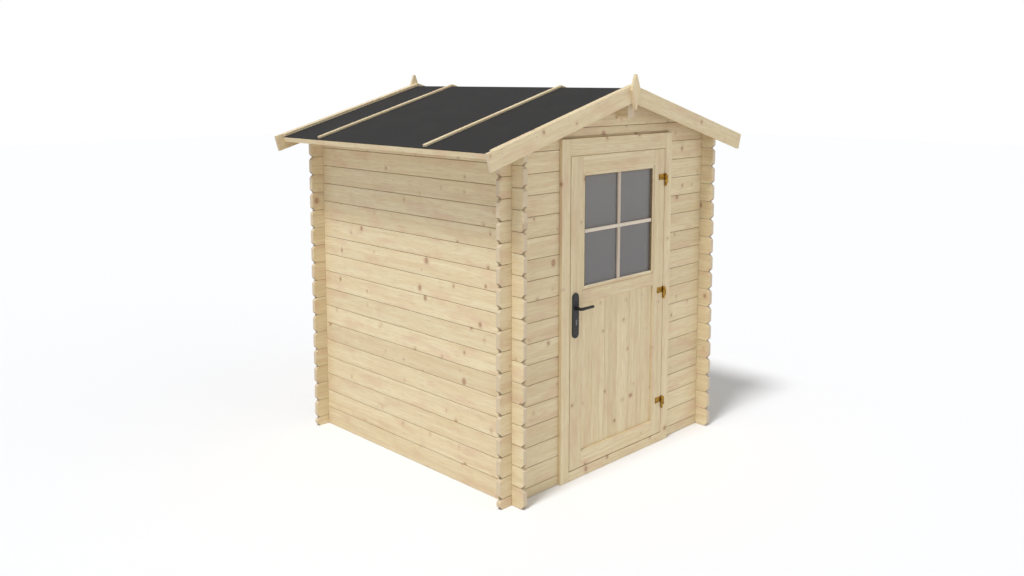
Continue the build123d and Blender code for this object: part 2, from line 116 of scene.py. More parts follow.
class Paint:
    # one material, with its Principled shader ready to fill in

    def __init__(self, name, **constants):
        self.material = bpy.data.materials.new(name)
        self.material.use_nodes = True
        self.tree = self.material.node_tree
        self.shader = self.tree.nodes["Principled BSDF"]
        for socket, value in constants.items():
            self.shader.inputs[socket.replace("_", " ")].default_value = value
        self.place = self.node("ShaderNodeTexCoord", out="Object")

    def node(self, kind, settings=None, inputs=None, out=0):
        made = self.tree.nodes.new(kind)
        for key, value in (settings or {}).items():
            if key == "stops":
                self.setStops(made.color_ramp, value)
            else:
                setattr(made, key, value)
        for key, value in (inputs or {}).items():
            if isinstance(value, Value):
                self.tree.links.new(value.socket, made.inputs[key])
            else:
                made.inputs[key].default_value = value
        return Value(self, made.outputs[out])

    def setStops(self, ramp, stops):
        while len(ramp.elements) < len(stops):
            ramp.elements.new(0.5)
        for element, (position, colour) in zip(ramp.elements, stops):
            element.position = position
            element.color = colour

    def dot(self, vector):
        return self.node("ShaderNodeVectorMath", {"operation": "DOT_PRODUCT"},
                         {0: self.place, 1: vector}, out="Value")

    def facing(self, direction):
        # 1 where the surface looks along the direction, -1 where it looks the other way
        normal = self.node("ShaderNodeTexCoord", out="Normal")
        return self.node("ShaderNodeVectorMath", {"operation": "DOT_PRODUCT"},
                         {0: normal, 1: direction}, out="Value")

    def vector(self, x, y, z):
        return self.node("ShaderNodeCombineXYZ", None, {0: x, 1: y, 2: z})

    def noise(self, vector, scale, detail=2.0, roughness=0.5):
        return self.node("ShaderNodeTexNoise", None,
                         {"Vector": vector, "Scale": scale, "Detail": detail, "Roughness": roughness})

    def random(self, number, part):
        # three unlike random numbers for each whole number
        colour = self.node("ShaderNodeTexWhiteNoise", {"noise_dimensions": "1D"}, {"W": number}, out="Color")
        return self.node("ShaderNodeSeparateColor", None, {0: colour}, out=part)

    def mix(self, factor, first, second, blend="MIX"):
        return self.node("ShaderNodeMix", {"data_type": "RGBA", "blend_type": blend},
                         {0: factor, 6: first, 7: second}, out=2)

    def feed(self, socket, value):
        self.tree.links.new(value.socket, self.shader.inputs[socket])

    def bump(self, height, distance, strength=1.0):
        inputs = {"Height": height, "Distance": distance, "Strength": strength}
        self.feed("Normal", self.node("ShaderNodeBump", None, inputs))


def rgb(red, green, blue):
    # a colour as it shows on screen, as the linear values that Blender takes
    def linear(level):
        share = level / 255
        return share / 12.92 if share <= 0.04045 else ((share + 0.055) / 1.055) ** 2.4
    return (linear(red), linear(green), linear(blue), 1.0)


# Spruce

spruce = {
    "pale": rgb(238, 226, 194),
    "honey": rgb(228, 209, 170),
    "lateWood": rgb(205, 181, 140),
    "pink": rgb(226, 198, 170),
    "knot": rgb(166, 128, 98),
    "knotRing": rgb(210, 180, 148),
    "endGrain": rgb(208, 190, 164),
    "joint": rgb(124, 98, 62),
    "toneLight": rgb(255, 252, 246),
    "toneDark": rgb(243, 238, 230),
    "barLit": rgb(232, 220, 206),
    "barShaded": rgb(196, 182, 170),
    "topHighlight": rgb(255, 246, 224),
    "ringSpacing": 0.0042,
    "ringWobble": 0.003,
    "pithDepth": 0.07,
    "pithWander": 0.09,
    "knotCell": 0.22,
    "knotSize": 0.0145,
    "knotEdge": 0.004,
    "haloReach": 0.02,
    "haloBend": 0.007,
    "fibreBump": 0.0004,
    "jointReach": 0.0022,
}

# how much of each colour goes over the pale wood
woodShares = {"honey": 0.75, "pink": 0.7, "lateWood": 0.12, "moreLateWood": 0.16, "dash": 0.42, "fibre": 0.2,
              "tone": 0.8, "halo": 0.55, "knot": 0.68, "endGrain": 0.7, "under": 0.15}


def findKnots(paint, u, v, first, second, third):
    # one knot in each cell of a loose pattern that starts elsewhere on each board
    shiftU = u / spruce["knotCell"] + first * 31
    shiftV = v / spruce["knotCell"] + second * 17
    wobble = (paint.noise(paint.place, 40, 2) - 0.5) * 0.03
    cell = paint.vector(shiftU + wobble, (shiftV + wobble) * 0.8, third * 9)
    settings = {"voronoi_dimensions": "2D"}
    distance = paint.node("ShaderNodeTexVoronoi", settings, {"Vector": cell, "Scale": 1.0}, out="Distance")
    cellColour = paint.node("ShaderNodeTexVoronoi", settings, {"Vector": cell, "Scale": 1.0}, out="Color")
    cellRandom = paint.node("ShaderNodeSeparateColor", None, {0: cellColour}, out=0)
    fromKnot = distance * spruce["knotCell"] - cellRandom * cellRandom * spruce["knotSize"]
    knot = 1 - fromKnot.smooth(-0.001, spruce["knotEdge"])
    halo = 1 - fromKnot.smooth(0.001, spruce["haloReach"])
    return knot, halo


def findRings(paint, u, w, board, fromMiddle, first, second, third, halo, fibre):
    # year rings round a pith that lies behind the face and wanders along the board
    wander = (paint.noise(paint.vector(u * 1.3, board, 0.0), 1.0, 3) - 0.5) * spruce["pithWander"]
    offCentre = fromMiddle + (first - 0.5) * spruce["pithWander"] + wander
    depth = w + (second + 0.4) * spruce["pithDepth"]
    bent = halo * spruce["haloBend"] + fibre * spruce["ringWobble"]
    radius = (offCentre * offCentre + depth * depth).root() + bent
    ring = (radius / (spruce["ringSpacing"] * (0.8 + third * 0.7))).fraction()
    return ring.smooth(0.25, 0.9) * (1 - ring.smooth(0.93, 1.0))


def woodPaint(name, along, across, cover, start=0.0, seed=0.0, sides=(0, 0), folded=False, pale=0.0,
              jointed=0.0, lying=None, topHighlight=0.0):
    # boards of one width side by side; each has its own tone, rings round its own pith, and knots
    paint = Paint(name, Roughness=0.6, Specular_IOR_Level=0.3)
    side = (paint.dot(alongX) > 0) * sides[0] + (paint.dot(alongY) > 0) * sides[1]
    if folded:  # both slopes of the roof, as seen from the right one
        paint.place = paint.vector(abs(paint.dot(alongX)), paint.dot(alongY), paint.dot(alongZ))
    u = paint.dot(along)
    v = paint.dot(across)
    w = paint.dot(tuple(Vector(along).cross(Vector(across))))
    upright = 1.0
    if lying:  # a ring or a cross, where the pieces that lie have their grain along them
        middleX, middleZ, weightX, weightZ = lying
        lies = abs(v - middleX) * weightX + abs(u - middleZ) * weightZ > 0
        upright = 1 - lies
        u, v = u + (v - u) * lies, v + (u - v) * lies
    sideways = (v - start) / cover
    fromMiddle = (sideways.fraction() - 0.5) * cover
    board = sideways.floor() + side + seed
    first = paint.random(board, 0)
    second = paint.random(board, 1)
    third = paint.random(board, 2)

    fibre = paint.noise(paint.vector(u * 2.5, v * 90, w * 90), 1.0, 3, 0.6)
    streak = paint.noise(paint.vector(u * 2.5, v * 50, w * 50 + board), 1.0, 3, 0.65)
    dash = paint.noise(paint.vector(u * 12, v * 200, w * 200 + board), 1.0, 2, 0.6)
    cloud = paint.noise(paint.vector(u * 4.5 + board * 3, v * 13, w * 13), 1.0, 2)
    knot, halo = findKnots(paint, u, v, first, second, third)
    lateWood = findRings(paint, u, w, board, fromMiddle, first, second, third, halo, fibre)

    shares = woodShares
    colour = paint.mix(streak.smooth(0.32, 0.7) * shares["honey"], spruce["pale"], spruce["honey"])
    colour = paint.mix(cloud.smooth(0.48, 0.74) * shares["pink"], colour, spruce["pink"])
    ringShare = shares["lateWood"] + shares["moreLateWood"] * second
    colour = paint.mix(lateWood * ringShare, colour, spruce["lateWood"])
    colour = paint.mix(dash.smooth(0.48, 0.7) * shares["dash"], colour, spruce["lateWood"])
    colour = paint.mix(fibre.smooth(0.5, 0.8) * shares["fibre"], colour, spruce["lateWood"])
    tone = paint.mix(third, spruce["toneLight"], spruce["toneDark"])
    colour = paint.mix(shares["tone"], colour, tone, "MULTIPLY")
    colour = paint.mix(halo * shares["halo"], colour, spruce["knotRing"])
    colour = paint.mix(knot * shares["knot"], colour, spruce["knot"])
    if pale:
        # pale glazing bars, the lying ones painted lighter and the upright ones darker, as painted light and
        # shade
        colour = paint.mix(pale, colour, paint.mix(upright, spruce["barLit"], spruce["barShaded"]))
    if jointed:  # shade and dust in the grooves between boards
        reach = spruce["jointReach"]
        inGroove = 1 - (cover / 2 - abs(fromMiddle)).smooth(reach * 0.4, reach)
        colour = paint.mix(inGroove * jointed, colour, spruce["joint"])

    # end grain is a little darker and greyer, and the bevels that face down get painted shade
    endGrain = abs(paint.facing(along)).smooth(0.45, 0.75) * upright
    colour = paint.mix(endGrain * shares["endGrain"], colour, spruce["endGrain"])
    if topHighlight:  # painted highlight on the tops that face up
        colour = paint.mix(paint.facing(alongZ).smooth(0.2, 0.7) * topHighlight, colour, spruce["topHighlight"])
    if jointed:
        # painted shade on the faces that look down, in the colour of the groove shade
        under = (0 - paint.facing(alongZ)).smooth(0.45, 0.7)
        colour = paint.mix(under * (jointed + shares["under"]), colour, spruce["joint"])
    paint.feed("Base Color", colour)
    paint.feed("Roughness", 0.52 + 0.16 * fibre)
    paint.bump(fibre * 0.6 - lateWood * 0.25 + knot * 0.3, spruce["fibreBump"])
    return paint.material


# Felt, metal, paint and glass

felt = {"base": rgb(51, 50, 50), "worn": rgb(61, 60, 59), "deep": rgb(37, 36, 36), "grain": 900.0}


def feltPaint():
    # mineral granules pressed into bitumen
    paint = Paint("roof_felt", Roughness=0.95, Specular_IOR_Level=0.12)
    granule = paint.noise(paint.place, felt["grain"], 2, 0.7)
    patch = paint.noise(paint.place, 5.0, 3, 0.6)
    colour = paint.mix(granule.smooth(0.3, 0.75), felt["deep"], felt["worn"])
    colour = paint.mix(0.6, colour, felt["base"])
    colour = paint.mix(patch.smooth(0.4, 0.75) * 0.25, colour, felt["worn"])
    paint.feed("Base Color", colour)
    paint.feed("Roughness", 0.88 + 0.1 * granule)
    paint.bump(granule, 0.0012, 0.7)
    return paint.material


brass = {"bright": rgb(178, 138, 58), "dull": rgb(112, 80, 26)}


def brassPaint():
    paint = Paint("hinge_brass", Metallic=1.0, Roughness=0.35)
    blotch = paint.noise(paint.place, 60.0, 4, 0.6)
    scratch = paint.noise(paint.place, 700.0, 2, 0.5)
    paint.feed("Base Color", paint.mix(blotch.smooth(0.35, 0.7), brass["bright"], brass["dull"]))
    paint.feed("Roughness", 0.3 + 0.2 * blotch)
    paint.bump(scratch, 0.0001, 0.5)
    return paint.material


coat = {"base": rgb(38, 37, 37), "high": rgb(54, 53, 53)}
leverCoat = {"base": rgb(19, 18, 18), "high": rgb(28, 27, 26)}


def blackPaint(name, base, high):
    # powder coat with a fine orange peel
    paint = Paint(name, Roughness=0.42, Specular_IOR_Level=0.35)
    peel = paint.noise(paint.place, 420.0, 2)
    dust = paint.noise(paint.place, 30.0, 3)
    paint.feed("Base Color", paint.mix(dust.smooth(0.4, 0.8) * 0.5, base, high))
    paint.feed("Roughness", 0.36 + 0.14 * peel)
    paint.bump(peel, 0.0003, 0.5)
    return paint.material


def steelPaint(name, bright, dull):
    paint = Paint(name, Metallic=1.0, Roughness=0.35)
    blotch = paint.noise(paint.place, 90.0, 3)
    paint.feed("Base Color", paint.mix(blotch, bright, dull))
    paint.feed("Roughness", 0.34 + 0.2 * blotch)
    return paint.material


def plainPaint(name, base, dark, grain):
    # a dull material with a soft mottle, for seals and packing
    paint = Paint(name, Roughness=0.9, Specular_IOR_Level=0.2)
    mottle = paint.noise(paint.place, grain, 3, 0.6)
    paint.feed("Base Color", paint.mix(mottle.smooth(0.3, 0.7), base, dark))
    paint.bump(mottle, 0.0005, 0.6)
    return paint.material


pane = {"high": rgb(154, 150, 146), "low": rgb(141, 139, 138), "seeThrough": 0.4}


def glassPaint():
    # a grey pane that lets a little of the dark room show
    paint = Paint("window_glass", Roughness=0.04, IOR=1.5)
    smear = paint.noise(paint.place, 7.0, 3)
    low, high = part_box("door_glass")
    # the pane is painted lighter towards its top, a painted reflection
    height = paint.dot(alongZ).smooth(low.z, high.z)
    paint.feed("Base Color", paint.mix(height * 0.9 + 0.2 * (smear - 0.5), pane["low"], pane["high"]))
    paint.feed("Alpha", 1 - pane["seeThrough"] + 0.05 * smear)
    paint.feed("Roughness", 0.03 + 0.05 * smear)
    return paint.material


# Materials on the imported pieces

course = 0.114
roofLow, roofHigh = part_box("roof_boards_left")
roofCover = (roofHigh.y - roofLow.y) / 17
panelLow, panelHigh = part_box("door_panel_boards")
panelCover = (panelHigh.x - panelLow.x) / 6
paneLow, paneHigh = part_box("glazing_beads")
paneMiddle = (paneLow + paneHigh) / 2
paneHalf = (paneHigh - paneLow) / 2
barHalfWide = 0.012
barHalfHigh = 0.010

woodSets = {
    "side_logs": (["left_wall_logs", "right_wall_logs"],
                  dict(along=alongY, across=alongZ, cover=course, seed=3, sides=(41, 0), jointed=0.45)),
    "end_logs": (["back_wall_logs", "back_gable_logs", "front_wall_logs_left", "front_gable_logs"],
                 dict(along=alongX, across=alongZ, cover=course, start=-course / 2, seed=211, sides=(0, 83),
                      jointed=0.45)),
    "door_side_logs": (["front_wall_logs_right"],
                       dict(along=alongX, across=alongZ, cover=course, start=-course / 2, seed=307,
                            jointed=0.45)),
    "roof_board_wood": (["roof_boards_left", "roof_boards_right"],
                        dict(along=downSlope, across=alongY, cover=roofCover,
                             start=roofLow.y, seed=401, sides=(41, 0), folded=True, jointed=0.3)),
    "purlin_wood": (["ridge_purlin"], dict(along=alongY, across=alongX, cover=2.0, start=-1.0, seed=503)),
    "fascia_wood": (["eave_fascia_left", "eave_fascia_right"],
                    dict(along=alongY, across=downSlope, cover=4.0, start=-2.0, seed=547, sides=(41, 0),
                         folded=True)),
    "batten_wood": (["felt_battens_left", "felt_battens_right", "verge_strips"],
                    dict(along=downSlope, across=alongY, cover=0.3, start=-1.5, seed=601, sides=(41, 0),
                         folded=True)),
    "barge_wood": (["front_barge_board_left", "front_barge_board_right",
                    "rear_barge_board_left", "rear_barge_board_right"],
                   dict(along=downSlope, across=squareSlope, cover=4.0, start=-1.0, seed=653, sides=(41, 83),
                        folded=True)),
    "finial_wood": (["front_finial", "rear_finial"],
                    dict(along=alongZ, across=alongX, cover=2.0, start=-1.0, seed=701, sides=(0, 83))),
    "jamb_wood": (["door_jamb_left", "door_jamb_right"],
                  dict(along=alongZ, across=alongX, cover=0.5, start=-0.75, seed=751)),
    "frame_cross_wood": (["door_head", "door_sill"],
                         dict(along=alongX, across=alongZ, cover=0.9, seed=809)),
    "stile_wood": (["door_stile_left", "door_stile_right"],
                   dict(along=alongZ, across=alongX, cover=0.5, start=-0.75, seed=857)),
    "rail_wood": (["door_bottom_rail", "door_middle_rail", "door_top_rail"],
                  dict(along=alongX, across=alongZ, cover=0.5, seed=907)),
    "panel_wood": (["door_panel_boards"],
                   dict(along=alongZ, across=alongX, cover=panelCover, start=panelLow.x, seed=953)),
    "bead_wood": (["glazing_beads"],
                  dict(along=alongZ, across=alongX, cover=0.3, seed=1009, topHighlight=0.6,
                       lying=(paneMiddle.x, paneMiddle.z, -1 / paneHalf.x, 1 / paneHalf.z))),
    "bar_wood": (["glazing_bars"],
                 dict(along=alongZ, across=alongX, cover=0.6, start=-1.0, seed=1013, pale=0.75,
                      lying=(paneMiddle.x, paneMiddle.z, 1 / barHalfWide, -1 / barHalfHigh))),
}

brassMaterial = brassPaint()
blackMaterial = blackPaint("black_coat", coat["base"], coat["high"])
leverMaterial = blackPaint("lever_coat", leverCoat["base"], leverCoat["high"])
cylinderMaterial = steelPaint("satin_nickel", rgb(136, 134, 131), rgb(104, 102, 100))
zincMaterial = steelPaint("zinc_plate", rgb(186, 188, 190), rgb(150, 152, 156))
plainSets = {
    "roof_felt": feltPaint(),
    "door_glass": glassPaint(),
    "hinge_frame_plates": brassMaterial,
    "hinge_door_plates": brassMaterial,
    "handle_plate_outside": blackMaterial,
    "handle_plate_inside": blackMaterial,
    "lever_handle": leverMaterial,
    "lock_cylinder": cylinderMaterial,
}


def setMaterial(piece, material):
    piece.data.materials.clear()
    piece.data.materials.append(material)


def softenEdges(piece, width, segments):
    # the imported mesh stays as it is; live modifiers ease its edges
    weld = piece.modifiers.new("weld", "WELD")
    weld.merge_threshold = 0.00002
    flat = piece.modifiers.new("flat", "DECIMATE")
    flat.decimate_type = "DISSOLVE"
    flat.angle_limit = math.radians(0.5)
    ease = piece.modifiers.new("ease", "BEVEL")
    ease.width = width
    ease.segments = segments
    ease.limit_method = "ANGLE"
    ease.angle_limit = math.radians(35)
    ease.harden_normals = False


for setName, (members, settings) in woodSets.items():
    material = woodPaint(setName, **settings)
    for member in members:
        setMaterial(nodes[member], material)
for member, material in plainSets.items():
    setMaterial(nodes[member], material)
print("materials set on", len(nodes), "packed pieces")

woodEdge = 0.0012
beadEdge = 0.0028
for setName, (members, settings) in woodSets.items():
    for member in members:
        softenEdges(nodes[member], beadEdge if member == "glazing_beads" else woodEdge, 1)
metalEdges = {"handle_plate_outside": 0.0022, "handle_plate_inside": 0.0022, "lock_cylinder": 0.0005,
              "hinge_frame_plates": 0.0005, "hinge_door_plates": 0.0005}
for member, width in metalEdges.items():
    softenEdges(nodes[member], width, 3)
print("edges eased")


# Modelling helpers

def deselect():
    if bpy.context.object and bpy.context.object.mode != "OBJECT":
        bpy.ops.object.mode_set(mode="OBJECT")
    bpy.ops.object.select_all(action="DESELECT")


def pick(kind, test):
    # selects the active piece's faces, edges or points whose middle (and normal) pass the test
    piece = bpy.context.object
    bpy.ops.object.mode_set(mode="OBJECT")
    mesh = piece.data
    for group in (mesh.vertices, mesh.edges, mesh.polygons):
        for part in group:
            part.select = False
    if kind == "FACE":
        for face in mesh.polygons:
            face.select = test(face.center, face.normal)
    elif kind == "EDGE":
        for edge in mesh.edges:
            ends = [mesh.vertices[index].co for index in edge.vertices]
            edge.select = test((ends[0] + ends[1]) / 2, (ends[1] - ends[0]).normalized())
    else:
        for point in mesh.vertices:
            point.select = test(point.co, point.normal)
    bpy.ops.object.mode_set(mode="EDIT")
    bpy.ops.mesh.select_mode(type=kind)


def settle(name, material, body, angle=35.0):
    # ends the modelling of the active piece: its place goes into its mesh
    bpy.ops.object.mode_set(mode="OBJECT")
    bpy.ops.object.transform_apply(location=True, rotation=True, scale=True)
    piece = bpy.context.object
    piece.name = name
    bpy.ops.object.shade_smooth_by_angle(angle=math.radians(angle))
    if len(piece.data.materials) < 2:
        setMaterial(piece, material)
    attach(piece, body)
    return piece


def makeBar(corner, size, bevel):
    # a bar with one corner there, its edges bevelled
    deselect()
    middle = [corner[i] + size[i] / 2 for i in range(3)]
    bpy.ops.mesh.primitive_cube_add(size=1, location=middle)
    bpy.ops.transform.resize(value=size)
    bpy.ops.object.transform_apply(location=True, rotation=True, scale=True)
    bpy.ops.object.mode_set(mode="EDIT")
    bpy.ops.mesh.select_all(action="SELECT")
    bpy.ops.mesh.bevel(offset=bevel, segments=2, affect="EDGES")
    bpy.ops.object.mode_set(mode="OBJECT")
    return bpy.context.object


def joinPieces(pieces):
    deselect()
    for piece in pieces:
        piece.select_set(True)
    bpy.context.view_layer.objects.active = pieces[0]
    bpy.ops.object.join()
    return bpy.context.object


def scatter(master, places):
    # a copy of a small piece at each place, its top turned the way named there, joined as one
    copies = []
    for place, outward, turn in places:
        deselect()
        master.select_set(True)
        bpy.context.view_layer.objects.active = master
        bpy.ops.object.duplicate()
        copy = bpy.context.object
        copy.rotation_mode = "QUATERNION"
        copy.rotation_quaternion = Vector(outward).to_track_quat("Z", "Y") @ Quaternion((0, 0, 1), turn)
        copy.location = place
        copies.append(copy)
    joined = joinPieces(copies)
    bpy.ops.object.transform_apply(location=True, rotation=True, scale=True)
    return joined


# Screws and nails

screw = {"radius": 0.0036, "high": 0.0012, "sides": 16, "dome": 0.6, "rim": 0.24, "recess": 0.0011,
         "recessReach": 0.62, "waist": 0.45}


def makeScrewHead():
    # a low domed head with a four-pointed recess
    deselect()
    radius = screw["radius"]
    high = screw["high"]
    bpy.ops.mesh.primitive_cylinder_add(vertices=screw["sides"], radius=radius, depth=high)
    bpy.ops.object.mode_set(mode="EDIT")
    bpy.ops.mesh.select_all(action="SELECT")
    bpy.ops.transform.translate(value=(0, 0, high / 2))
    pick("EDGE", lambda middle, way: middle.z > high * 0.9 and middle.length > radius * 0.9)
    bpy.ops.mesh.bevel(offset=high * screw["dome"], segments=2, affect="EDGES")
    pick("FACE", lambda middle, normal: normal.z > 0.99)
    bpy.ops.mesh.inset(thickness=radius * screw["rim"])

    def inWaist(place, normal):
        # the points of the recess's edge, apart from its four tips on the axes
        out = place.xy.length
        offAxes = abs(abs(place.x) - abs(place.y)) < out * 0.9
        return place.z > high * 0.9 and radius * 0.1 < out < radius * screw["recessReach"] and offAxes

    pick("VERT", inWaist)
    waist = screw["waist"]
    bpy.ops.transform.resize(value=(waist, waist, 1), center_override=(0, 0, high))
    pick("FACE", lambda middle, normal: normal.z > 0.99 and middle.xy.length < radius * 0.05)
    bpy.ops.mesh.extrude_region_move(TRANSFORM_OT_translate={"value": (0, 0, -screw["recess"])})
    bpy.ops.object.mode_set(mode="OBJECT")
    return bpy.context.object


nail = {"radius": 0.0026, "high": 0.0007, "sides": 12, "ease": 0.7, "rim": 0.3, "dish": 0.25}


def makeNailHead():
    # a round flat head, its rim eased
    deselect()
    high = nail["high"]
    bpy.ops.mesh.primitive_cylinder_add(vertices=nail["sides"], radius=nail["radius"], depth=2 * high)
    bpy.ops.object.mode_set(mode="EDIT")
    pick("EDGE", lambda middle, way: middle.z > high * 0.9)
    bpy.ops.mesh.bevel(offset=high * nail["ease"], segments=2, affect="EDGES")
    pick("FACE", lambda middle, normal: normal.z > 0.99)
    bpy.ops.mesh.inset(thickness=nail["radius"] * nail["rim"])
    bpy.ops.transform.translate(value=(0, 0, -high * nail["dish"]))
    bpy.ops.object.mode_set(mode="OBJECT")
    return bpy.context.object


front = (0, -1, 0)
back = (0, 1, 0)
hingeLow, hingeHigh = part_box("hinge_door_plates")
framePlateLow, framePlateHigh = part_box("hinge_frame_plates")
plateLow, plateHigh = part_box("handle_plate_outside")
innerLow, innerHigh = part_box("handle_plate_inside")
leafLow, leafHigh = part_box("door_stile_left")
hinge = {"knuckleTall": 0.075, "plateProud": 0.0028, "frameScrewIn": 0.009, "frameScrewUp": (-0.016, 0.016),
         "doorScrews": ((0.012, 0.009), (0.012, 0.027), (0.036, 0.018))}
lowestHinge = framePlateLow.z + hinge["knuckleTall"] / 2
highestHinge = hingeHigh.z - hinge["knuckleTall"] / 2
hingeHeights = (lowestHinge, (lowestHinge + highestHinge) / 2, highestHinge)
hingePlateFace = leafLow.y - hinge["plateProud"]
handleScrewIn = 0.013


def fitScrews():
    # each screw has stopped with its recess at its own angle
    head = makeScrewHead()
    framePlaces = []
    doorPlaces = []
    for height in hingeHeights:
        for up in hinge["frameScrewUp"]:
            place = (framePlateHigh.x - hinge["frameScrewIn"], hingePlateFace, height + up)
            framePlaces.append((place, front, 0.4 + height))
        for across, up in hinge["doorScrews"]:
            place = (hingeLow.x + across, hingePlateFace, height + up)
            doorPlaces.append((place, front, 1.1 + height + across * 30))
    scatter(head, framePlaces)
    settle("frame_hinge_screws", brassMaterial, "shed")
    scatter(head, doorPlaces)
    settle("door_hinge_screws", brassMaterial, "door")
    middle = (plateLow.x + plateHigh.x) / 2
    platePlaces = []
    for height in (plateHigh.z - handleScrewIn, plateLow.z + handleScrewIn):
        platePlaces.append(((middle, plateLow.y, height), front, 0.3 + height))
        platePlaces.append(((middle, innerHigh.y, height), back, 0.9 + height))
    scatter(head, platePlaces)
    settle("handle_plate_screws", blackMaterial, "door")
    bpy.data.objects.remove(head)
    print("screws fitted")


roofNails = {"edge": 0.06, "last": 1.08, "count": 5, "low": 0.009, "high": 0.030, "fasciaStep": 0.3,
             "fasciaLift": 0.003}
roofSizes = {"felt": 0.0213, "batten": 0.0356, "verge": 0.0396, "long": 1.1241,
             "feltFirst": 0.543, "feltRoll": 0.994, "vergeIn": 0.010}
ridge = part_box("roof_felt")[1].z - roofSizes["felt"] / math.cos(roofPitch)


def slopePlace(side, y, down, lift):
    # a place on the left (-1) or right (1) slope, by its way down from the ridge and its lift
    x = side * (down * math.cos(roofPitch) + lift * math.sin(roofPitch))
    return (x, y, ridge - down * math.sin(roofPitch) + lift * math.cos(roofPitch))


def fitNails():
    head = makeNailHead()
    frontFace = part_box("front_barge_board_left")[0].y
    firstBatten = roofLow.y + roofSizes["feltFirst"]
    battenRows = (firstBatten, firstBatten + roofSizes["feltRoll"])
    vergeRows = (roofLow.y + roofSizes["vergeIn"], roofHigh.y - roofSizes["vergeIn"])
    step = (roofNails["last"] - roofNails["edge"]) / (roofNails["count"] - 1)
    places = []
    for side in (-1, 1):
        upward = (side * math.sin(roofPitch), 0, math.cos(roofPitch))
        eaveward = (side * math.cos(roofPitch), 0, -math.sin(roofPitch))
        for index in range(roofNails["count"]):
            down = roofNails["edge"] + index * step
            for lift in (roofNails["low"], roofNails["high"]):
                places.append((slopePlace(side, frontFace, down, lift), front, 0))
                places.append((slopePlace(side, -frontFace, down, lift), back, 0))
            for y in battenRows:
                places.append((slopePlace(side, y, down, roofSizes["batten"]), upward, 0))
            for y in vergeRows:
                places.append((slopePlace(side, y, down, roofSizes["verge"]), upward, 0))
        y = roofLow.y + roofNails["fasciaStep"] / 2
        while y < roofHigh.y:
            places.append((slopePlace(side, y, roofSizes["long"], roofNails["fasciaLift"]), eaveward, 0))
            y += roofNails["fasciaStep"]
    scatter(head, places)
    settle("roof_nails", zincMaterial, "shed")
    bpy.data.objects.remove(head)
    print("nails driven:", len(places))


# Lever

lever = {"neck": 0.009, "straight": 0.0335, "bend": 0.014, "arm": 0.105, "taper": 0.25, "deep": 0.8,
         "tall": 0.98, "tipDeep": 0.9, "tipTall": 0.92, "tipRound": 0.0035, "steps": 8, "sides": 28,
         "square": 0.008, "squareEdge": 0.0006}
spindle = Vector(((plateLow.x + plateHigh.x) / 2, 0, frame["joints"][1]["pos_m"][2]))


def leverSide(face, out):
    # neck, bend and tapered arm on one side of the leaf; out is -1 in front and 1 behind
    deselect()
    bpy.ops.mesh.primitive_circle_add(vertices=lever["sides"], radius=lever["neck"], fill_type="NGON",
                                      location=(spindle.x, face, spindle.z),
                                      rotation=(math.radians(90), 0, 0))
    bpy.ops.object.transform_apply(location=True, rotation=True, scale=True)
    bend = face + out * lever["straight"]
    middle = bend + out * lever["bend"]
    start = spindle.x + lever["bend"]
    end = spindle.x + lever["arm"]
    arm = start + (end - start) * lever["taper"]
    bpy.ops.object.mode_set(mode="EDIT")
    bpy.ops.mesh.select_all(action="SELECT")
    bpy.ops.mesh.extrude_region_move(TRANSFORM_OT_translate={"value": (0, bend - face, 0)})
    bpy.ops.mesh.spin(steps=lever["steps"], angle=out * math.pi / 2, center=(start, bend, spindle.z),
                      axis=(0, 0, 1))
    bpy.ops.mesh.extrude_region_move(TRANSFORM_OT_translate={"value": (arm - start, 0, 0)})
    bpy.ops.transform.resize(value=(1, lever["deep"], lever["tall"]),
                             center_override=(arm, middle, spindle.z))
    bpy.ops.mesh.extrude_region_move(TRANSFORM_OT_translate={"value": (end - arm, 0, 0)})
    bpy.ops.transform.resize(value=(1, lever["tipDeep"], lever["tipTall"]),
                             center_override=(end, middle, spindle.z))
    pick("EDGE", lambda place, way: place.x > end - 0.0001)
    bpy.ops.mesh.bevel(offset=lever["tipRound"], segments=4, affect="EDGES")
    bpy.ops.mesh.select_all(action="SELECT")
    bpy.ops.mesh.remove_doubles(threshold=0.00001)
    bpy.ops.mesh.normals_make_consistent(inside=False)
    bpy.ops.object.mode_set(mode="OBJECT")
    return bpy.context.object


def fitLever():
    outer = leverSide(plateHigh.y, -1)
    inner = leverSide(innerLow.y, 1)
    side = lever["square"]
    length = innerLow.y - plateHigh.y
    corner = (spindle.x - side / 2, plateHigh.y, spindle.z - side / 2)
    square = makeBar(corner, (side, length, side), lever["squareEdge"])
    joinPieces([outer, inner, square])
    piece = settle("door_lever", leverMaterial, "lever", 40.0)
    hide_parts("lever_handle")
    print("lever made")


collar = {"outer": 0.0138, "inner": 0.0097, "high": 0.003, "ease": 0.0012, "sides": 32}


def fitCollars():
    # raised rings on the handle plates, round the lever's neck
    deselect()
    outer = collar["outer"]
    high = collar["high"]
    bpy.ops.mesh.primitive_cylinder_add(vertices=collar["sides"], radius=outer, depth=high)
    pick("FACE", lambda place, normal: abs(normal.z) > 0.99)
    bpy.ops.mesh.inset(thickness=outer - collar["inner"], use_individual=True)
    bpy.ops.mesh.delete(type="FACE")
    pick("EDGE", lambda place, way: place.xy.length < collar["inner"] * 1.02)
    bpy.ops.mesh.bridge_edge_loops()
    bpy.ops.mesh.select_all(action="SELECT")
    bpy.ops.transform.translate(value=(0, 0, high / 2))
    pick("EDGE", lambda place, way: place.z > high * 0.9 and place.xy.length > outer * 0.98)
    bpy.ops.mesh.bevel(offset=collar["ease"], segments=3, affect="EDGES")
    bpy.ops.object.mode_set(mode="OBJECT")
    master = bpy.context.object
    outside = (spindle.x, plateLow.y, spindle.z)
    inside = (spindle.x, innerHigh.y, spindle.z)
    scatter(master, [(outside, front, 0), (inside, back, 0)])
    settle("handle_collars", blackMaterial, "door")
    bpy.data.objects.remove(master)
    print("collars fitted")


# Lock

